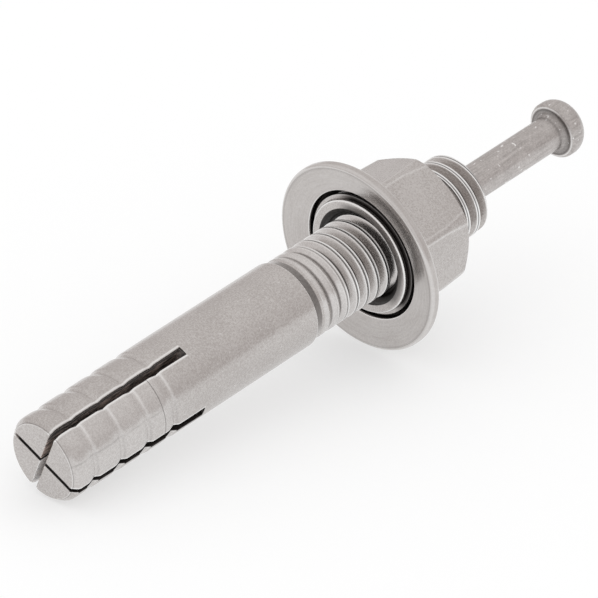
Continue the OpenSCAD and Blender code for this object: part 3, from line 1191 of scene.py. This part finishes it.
            # Painted shade on these rows is kept to the side facing shade_turn
            marks = {HIGHLIGHT: point.wear, PAINTED_SHADE: point.grime * shaded}
            above = sketch.row(polar(point.r, angles, point.z), **marks)
            sketch.strip(ring, above)
            ring = above

    def thread(self) -> ThreadRule:
        """Rule of the stud's thread."""
        crest_r = self.thread_d / 2
        return ThreadRule(
            pitch=self.thread_pitch,
            crest_radius=crest_r,
            depth=self.thread_depth,
            start=self.thread_z,
            end=self.end_z,
            turn=-self.thread_turn / 360 % 1,
            run_out=self.run_out,
            seam_depth=self.thread_seam,
            start_radius=self.neck_d / 2,
            end_radius=crest_r - self.thread_chamfer,
        )

    def build(self) -> bpy.types.Object:
        """Build the stud as one closed mesh."""
        material = self.finish.material(self.axis)
        rule = self.thread()
        mesh = self.blank().to_bmesh()
        skin = rule.mesh("stud_thread", material)
        sew_thread(mesh, rule, skin, self.thread_z - self.join_l)
        piece = finish_piece("stud", mesh, self.axis, material)
        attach(piece, "anchor")
        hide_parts("anchor_body")
        return piece


@dataclass
class Nail:
    """The headed nail that stands in the stud's bore."""

    axis: AnchorAxis
    finish: SteelFinish
    stud_end_z: float
    diameter: float = 4.0
    stroke: float = 15.4
    point_z: float = 19.9
    point_l: float = 3.4
    point_d: float = 1.6
    head_d: float = 6.6
    head_h: float = 2.4
    head_under_r: float = 0.55
    head_top_r: float = 1.8
    head_face_d: float = 5.4
    head_fillet: float = 0.4
    soil_l: float = 0.6
    rim_wear: float = 0.7
    face_ring_r: float = 1.2
    columns: int = 128

    def outline(self) -> list[OutlinePoint]:
        """Outline from the point to the struck face."""
        r, head_r = self.diameter / 2, self.head_d / 2
        head_z = self.stud_end_z + self.stroke
        face_z = head_z + self.head_h
        lower = [
            Corner(0, self.point_z),
            Corner(self.point_d / 2, self.point_z, rounding=0.2),
            Corner(r, self.point_z + self.point_l, rounding=0.4),
            Corner(r, head_z - self.head_fillet - self.soil_l),
            # Painted shade under the head: on the fillet and across the underside
            Corner(r, head_z - self.head_fillet, rounding=0.25, grime=0.2),
            Corner(r + self.head_fillet, head_z, rounding=0.12, grime=0.35),
            Corner(head_r - self.head_under_r, head_z, grime=0.6),
        ]
        points = rounded_outline(lower)
        under = (head_r - self.head_under_r, head_z + self.head_under_r)
        rim = arc(under, self.head_under_r, -90, 0)[1:]
        # A painted highlight on the rounding of the head's rim
        rim[1] = rim[1]._replace(wear=self.rim_wear)
        top_turn = math.acos(1 - (head_r - self.head_face_d / 2) / self.head_top_r)
        top = (head_r - self.head_top_r, face_z - self.head_top_r * math.sin(top_turn))
        points += rim + arc(top, self.head_top_r, 0, math.degrees(top_turn))
        points += [OutlinePoint(self.face_ring_r, face_z), OutlinePoint(0, face_z)]
        return points

    def build(self) -> bpy.types.Object:
        """Build the nail."""
        sketch = MeshSketch()
        sketch.lathe(self.outline(), self.columns)
        piece = finish_piece("nail", sketch.to_bmesh(), self.axis, self.finish.material(self.axis))
        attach(piece, "pin")
        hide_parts("drive_pin")
        return piece


@dataclass
class Washer:
    """The dished washer that the nut's lip keeps on."""

    axis: AnchorAxis
    finish: SteelFinish
    hex_z: float
    lip_r: float
    lip_back: float
    collar_r: float
    diameter: float = 22.2
    thickness: float = 1.2
    dish: float = 0.6
    rim_round: float = 0.4
    rim_land: float = 0.4
    rim_wear: float = 0.3
    hole_lift: float = 0.25
    hole_shift: float = 0.25
    mouth_wear: float = 0.1
    mouth_edge_l: float = 0.26
    collar_play: float = 0.4
    mouth_gap: float = 0.38
    lip_gap: float = 0.16
    step_l: float = 0.3
    gap: float = 0.15
    columns: int = 256

    @property
    def land_out_r(self) -> float:
        """Outer radius of the flat land on the rim."""
        return self.diameter / 2 - self.rim_round

    @property
    def hole_r(self) -> float:
        """Radius of the hole at the back."""
        return self.collar_r + self.collar_play

    @property
    def mouth_r(self) -> float:
        """Radius of the mouth of the hole."""
        return self.lip_r + self.mouth_gap

    @property
    def back(self) -> float:
        """Height of the back of the hole above the rim."""
        slope = self.dish / (self.land_out_r - self.rim_land - self.mouth_r)
        return self.thickness + slope * (self.land_out_r - self.hole_r)

    @property
    def rim_z(self) -> float:
        """Height of the rim above the tip."""
        return self.hex_z - self.gap - self.back

    def outline(self) -> list[OutlinePoint]:
        """Closed outline of the ring."""
        z, mouth_r = self.rim_z, self.mouth_r + self.mouth_wear
        step_z = z + self.lip_back + self.lip_gap
        land_r = self.land_out_r - self.rim_land
        middle = Corner((mouth_r + land_r) / 2, z + self.dish / 2)
        # Slight painted shade where the front's land meets the rim; the rounded rim carries a painted
        # highlight
        front = [middle, Corner(land_r, z, rounding=0.15), Corner(self.land_out_r, z, grime=0.2)]
        round_r, top = self.rim_round, z + self.thickness
        rim = arc((self.land_out_r, z + round_r), round_r, -90, 0, self.rim_wear)[1:]
        rim += arc((self.land_out_r, top - round_r), round_r, 0, 90, self.rim_wear)
        edge_z = z + self.dish
        # Painted shade on the hole's wall and step, and a painted highlight on the mouth's edge
        behind = [
            Corner(self.land_out_r, top),
            Corner(self.hole_r, z + self.back, rounding=0.12),
            Corner(self.hole_r, step_z + self.step_l, rounding=0.08, grime=0.9),
            Corner(mouth_r, step_z, rounding=0.08, grime=1.0),
            Corner(mouth_r, edge_z + self.mouth_edge_l, rounding=0.02, grime=0.9),
            Corner(mouth_r, edge_z, rounding=0.11, wear=1.0),
            middle,
        ]
        return rounded_outline(front) + rim + rounded_outline(behind)[1:-1]

    def build(self) -> bpy.types.Object:
        """Build the washer."""
        sketch = MeshSketch()
        sketch.lathe(self.outline(), self.columns, closed=True)
        mesh = sketch.to_bmesh()
        land_r = self.land_out_r - self.rim_land
        for vert in mesh.verts:
            inward = (land_r - math.hypot(vert.co.x, vert.co.y)) / (land_r - self.mouth_r)
            share = min(1.0, max(0.0, inward))
            vert.co.x -= self.hole_lift * share
            vert.co.y -= self.hole_shift * share
        piece = finish_piece("washer", mesh, self.axis, self.finish.material(self.axis))
        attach(piece, "washer")
        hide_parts("captive_washer")
        return piece


@dataclass
class Nut:
    """The hex nut with the collar that carries the washer."""

    SECTOR: ClassVar[int] = 60
    # Heights and insets of the rows that round the underside of the flats
    UNDER_ROWS: ClassVar[tuple[Span, ...]] = ((0.0, 0.1), (0.03, 0.04), (0.1, 0.0))

    axis: AnchorAxis
    finish: SteelFinish
    end_z: float
    across_flats: float = 14.0
    height: float = 8.3
    turn: float = 9.7
    corner_trim: float = 0.2
    corner_draft_l: float = 3.2
    corner_draft: float = 0.2
    outer_inset: float = 0.35
    outer_chamfer_deg: float = 30.0
    bore_r: float = 4.83
    outer_sink: float = 0.5
    collar_d: float = 13.2
    lip_w: float = 0.56
    lip_t: float = 0.25
    lip_flare_l: float = 0.3
    lip_land: float = 0.41
    ring_sink: float = 0.92
    ring_soil_w: float = 0.6
    ring_soil_z: float = 0.5
    lip_root_w: float = 0.12
    sink_edge: float = 0.05
    shade_turn: float = 240.0
    shade_span: Span = (0.1, 0.4)
    edge_blend: float = 0.07
    edge_wear: float = 0.32
    flat_from: float = 0.6
    flat_rows: int = 4
    curve_rows: int = 16
    sector_columns: int = 20
    corner_crowding: float = 1.7

    @property
    def hex_z(self) -> float:
        """Height of the underside of the hexagon."""
        return self.end_z - self.height

    @property
    def collar_r(self) -> float:
        """Radius of the collar."""
        return self.collar_d / 2

    @property
    def lip_r(self) -> float:
        """Radius of the lip."""
        return self.collar_r + self.lip_w

    def angles(self) -> np.ndarray:
        """Angles of the columns, closer together near the corners."""
        half = self.SECTOR / 2
        share = (np.arange(self.sector_columns) / self.sector_columns) ** self.corner_crowding * half
        sector = np.concatenate([share, self.SECTOR - share[::-1][:-1], [half]])
        sector = np.unique(np.round(sector, 6))
        turns = [self.turn + start + sector for start in range(0, 360, self.SECTOR)]
        return np.radians(np.concatenate(turns))

    def hexagon(self, angles: np.ndarray) -> np.ndarray:
        """Radius of the plain hexagon at each angle."""
        turned = np.degrees(angles) - self.turn
        return self.across_flats / 2 / np.cos(np.radians(turned % self.SECTOR - self.SECTOR / 2))

    def collar_outline(self, ring_z: float, lip_z: float) -> list[OutlinePoint]:
        """Outline of the collar from the countersink to the hexagon."""
        ring_r = self.lip_r - self.lip_land
        flare_z = lip_z + self.lip_t + self.lip_flare_l
        # Painted shade on the ring's face, its wall, the lip and the collar; painted highlights on the
        # ring's edge and the lip
        corners = [
            Corner(self.bore_r + self.ring_sink + self.sink_edge, ring_z, grime=0.6),
            Corner(ring_r - self.ring_soil_w, ring_z, grime=0.45),
            Corner(ring_r, ring_z, rounding=0.22, wear=1.0),
            Corner(ring_r, ring_z + self.ring_soil_z, rounding=0.03, grime=1.0),
            Corner(ring_r, lip_z, rounding=0.06, grime=1.0),
            Corner(ring_r + self.lip_root_w, lip_z, rounding=0.04, grime=0.9),
            Corner(self.lip_r, lip_z, rounding=0.05, wear=0.5, grime=0.7),
            Corner(self.lip_r, lip_z + self.lip_t, rounding=0.06, grime=0.8),
            Corner(self.collar_r, flare_z, rounding=0.1, grime=1.0),
            Corner(self.collar_r, self.hex_z, grime=1.0),
        ]
        return rounded_outline(corners)

    def hex_rows(self) -> list[tuple[float, float, float]]:
        """Rows of the hexagon: height, limit on the radius, inset of the flats."""
        flat_r = self.across_flats / 2
        corner_r = flat_r / math.cos(math.radians(self.SECTOR / 2)) - self.corner_trim
        limit, outer_r = corner_r - self.corner_draft, flat_r - self.outer_inset
        chamfer_l = (limit - outer_r) * math.tan(math.radians(self.outer_chamfer_deg))
        chamfer_z = self.end_z - chamfer_l
        draft_z = chamfer_z - self.corner_draft_l
        rows = [(self.hex_z + up, corner_r, inset) for up, inset in self.UNDER_ROWS]
        flats = np.linspace(self.hex_z + self.flat_from, draft_z, self.flat_rows)
        rows += [(z, corner_r, 0.0) for z in flats]
        shares = np.linspace(0, 1, self.curve_rows + 1)[1:]
        rows += [(draft_z + self.corner_draft_l * s, corner_r - self.corner_draft * s, 0.0) for s in shares]
        rows += [(chamfer_z + chamfer_l * s, limit + (outer_r - limit) * s, 0.0) for s in shares]
        return rows

    def build(self, thread: ThreadRule, lip_z: float) -> bpy.types.Object:
        """Build the nut.

        Args:
            thread: Its thread, from the ring at the end of the collar to the outer face.
            lip_z: Height of the lip's face.

        Returns:
            The nut.
        """
        material = self.finish.material(self.axis)
        sketch = MeshSketch()
        angles = self.angles()
        below: list[int] = []
        shaded = facing(angles, self.shade_turn, self.shade_span)
        for point in self.collar_outline(thread.start, lip_z):
            # Painted shade on the ring and the lip is kept to the side facing shade_turn
            in_view = point.z < lip_z + self.lip_t / 2
            marks = {HIGHLIGHT: point.wear, PAINTED_SHADE: point.grime * (shaded if in_view else 1.0)}
            row = sketch.row(polar(point.r, angles, point.z), **marks)
            if below:
                sketch.strip(below, row)
            below = row
        for z, limit, inset in self.hex_rows():
            radius, edge = smooth_min(self.hexagon(angles) - inset, limit, self.edge_blend)
            # Painted highlight along the hexagon's edges and on the rounding under the flats
            under = inset / self.UNDER_ROWS[0][1]
            marks = {HIGHLIGHT: self.edge_wear * np.maximum(edge, under)}
            row = sketch.row(polar(radius, angles, z), **marks)
            sketch.strip(below, row)
            below = row
        face_r = self.bore_r + self.outer_sink + self.sink_edge
        sketch.strip(below, sketch.row(polar(face_r, angles, self.end_z)))
        mesh = sketch.to_bmesh()
        sew_thread(mesh, thread, thread.mesh("nut_thread", material), thread.start)
        piece = finish_piece("nut", mesh, self.axis, material)
        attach(piece, "nut")
        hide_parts("hex_nut")
        return piece


@dataclass
class Anchor:
    """The whole anchor: stud, nail, nut and washer."""

    axis: AnchorAxis
    thread_out: float = 5.75
    thread_clearance: float = 0.06
    lip_depth: float = 0.4
    ring_back: float = 0.38
    nut_soil: float = 0.85

    def build(self) -> None:
        """Build every piece and report it."""
        stud = Stud(self.axis, STUD_STEEL)
        nail = Nail(self.axis, NAIL_STEEL, stud.end_z)
        nut = Nut(self.axis, NUT_STEEL, stud.end_z - self.thread_out)
        lip_back = Washer.dish + self.lip_depth + nut.lip_t
        washer = Washer(self.axis, WASHER_STEEL, nut.hex_z, nut.lip_r, lip_back, nut.collar_r)
        ring_z = washer.rim_z + self.ring_back
        lip_z = washer.rim_z + washer.dish + self.lip_depth
        rule = stud.thread()
        inner = ThreadRule(
            pitch=rule.pitch,
            crest_radius=rule.crest_radius + self.thread_clearance,
            depth=rule.depth,
            start=ring_z,
            end=nut.end_z,
            turn=(rule.turn - (ring_z - rule.start) / rule.pitch) % 1.0,
            start_sink_radius=nut.bore_r + nut.ring_sink,
            end_sink_radius=nut.bore_r + nut.outer_sink,
            # Painted shade over the whole of the nut's thread
            soil=self.nut_soil,
        )
        for piece in (stud.build(), nail.build(), nut.build(inner, lip_z), washer.build()):
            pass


@dataclass(frozen=True)
class Studio:
    """The plain pale floor, the soft light and the camera."""

    axis: AnchorAxis
    frame_px: float = 598.0
    focal_px: float = 5000.0
    sensor_mm: float = 36.0
    heading_deg: float = 43.95
    elevation_deg: float = 27.3
    tip_px: Span = (43.8, 461.0)
    tip_depth_mm: float = 506.5
    tip_height_mm: float = 0.2
    clip_m: Span = (0.01, 50.0)
    floor_half: float = 6.0
    floor_drop: float = 2e-5
    floor_tints: tuple[Colour, Colour] = ((0.93, 0.93, 0.93, 1.0), (0.95, 0.95, 0.95, 1.0))
    floor_scale: float = 3.0
    floor_white: Colour = (1.0, 1.0, 1.0, 1.0)
    floor_glow: float = 1.02
    glow_seen: float = 0.5
    glow_mirrored: float = 0.7
    tent_tints: tuple[Colour, Colour] = ((0.74, 0.71, 0.70, 1.0), (0.86, 0.84, 0.83, 1.0))
    tent_rise: Span = (0.0, 0.9)
    tent_light: Colour = (1.05, 1.05, 1.05, 1.0)

    def camera(self) -> None:
        """Set the camera so that the tip falls where the photograph has it."""
        heading, dip = math.radians(self.heading_deg), math.radians(self.elevation_deg)
        level = math.cos(dip)
        ahead = Vector((level * math.cos(heading), level * math.sin(heading), -math.sin(dip)))
        right = Vector((math.sin(heading), -math.cos(heading), 0.0))
        down = ahead.cross(right)
        middle = self.frame_px / 2
        offset = right * (self.tip_px[0] - middle) + down * (self.tip_px[1] - middle)
        ray = ahead + offset / self.focal_px
        data = bpy.data.cameras.new("camera")
        data.sensor_width = self.sensor_mm
        data.lens = self.focal_px / self.frame_px * self.sensor_mm
        data.clip_start, data.clip_end = self.clip_m
        view = bpy.data.objects.new("camera", data)
        turn = Matrix((right, -down, -ahead)).transposed()
        view.matrix_world = turn.to_4x4()
        view.location = self.axis.point(self.tip_height_mm) - ray * self.tip_depth_mm * METRES_PER_MM
        bpy.context.scene.collection.objects.link(view)
        bpy.context.scene.camera = view

    def floor(self) -> None:
        """Lay the pale floor just under the anchor."""
        half = self.floor_half
        corners = [(-half, -half, 0), (half, -half, 0), (half, half, 0), (-half, half, 0)]
        data = bpy.data.meshes.new("floor")
        data.from_pydata(corners, [], [(0, 1, 2, 3)])
        plane = bpy.data.objects.new("floor", data)
        plane.location.z = -self.floor_drop
        made = bpy.data.materials.new("pale_floor")
        made.use_nodes = True
        graph = NodeGraph(made.node_tree)
        place = graph.add("ShaderNodeTexCoord", {}, {}, out="Object")
        tint = graph.mix(graph.noise(place, self.floor_scale), *self.floor_tints)
        lit = graph.add("ShaderNodeBsdfDiffuse", {}, {"Color": tint})
        white = {"Color": self.floor_white, "Strength": self.floor_glow}
        glow = graph.add("ShaderNodeEmission", {}, white)
        path = graph.node("ShaderNodeLightPath", {}, {})
        seen = Wire(graph, path.outputs["Is Camera Ray"]) * self.glow_seen
        mirrored = Wire(graph, path.outputs["Is Glossy Ray"]) * self.glow_mirrored
        surface = graph.add("ShaderNodeMixShader", {}, {0: seen + mirrored, 1: lit, 2: glow})
        graph.node("ShaderNodeOutputMaterial", {}, {"Surface": surface})
        data.materials.append(made)
        bpy.context.scene.collection.objects.link(plane)

    def light(self) -> None:
        """Light the scene with a pale tent, which steel reflects a little darker and warmer."""
        world = bpy.data.worlds.new("tent")
        world.use_nodes = True
        graph = NodeGraph(world.node_tree)
        way = graph.add("ShaderNodeTexCoord", {}, {}, out="Generated")
        rise = graph.add("ShaderNodeSeparateXYZ", {}, {0: way}, out="Z").step(*self.tent_rise)
        tent = graph.mix(rise, *self.tent_tints)
        mirrored = graph.add("ShaderNodeLightPath", {}, {}, out="Is Glossy Ray")
        colour = graph.mix(mirrored, self.tent_light, tent)
        glow = graph.add("ShaderNodeBackground", {}, {"Color": colour, "Strength": 1.0})
        graph.node("ShaderNodeOutputWorld", {}, {"Surface": glow})
        bpy.context.scene.world = world

    def build(self) -> None:
        """Set up floor, light, camera and plain colour handling."""
        self.floor()
        self.light()
        self.camera()
        bpy.context.scene.view_settings.view_transform = "Standard"


def main() -> None:
    """Build the anchor in its studio."""
    logging.basicConfig(level=logging.INFO, format="%(name)s %(message)s")
    record = frame["record"]
    shank = next(m for m in record["mounts"] if m["name"] == "shank")
    shank_middle = Stud.shank_l - shank["dims"]["length_mm"] / 2
    axis = AnchorAxis.from_record(record, shank_middle)
    Anchor(axis).build()
    Studio(axis).build()


if __name__ == "__main__":
    main()
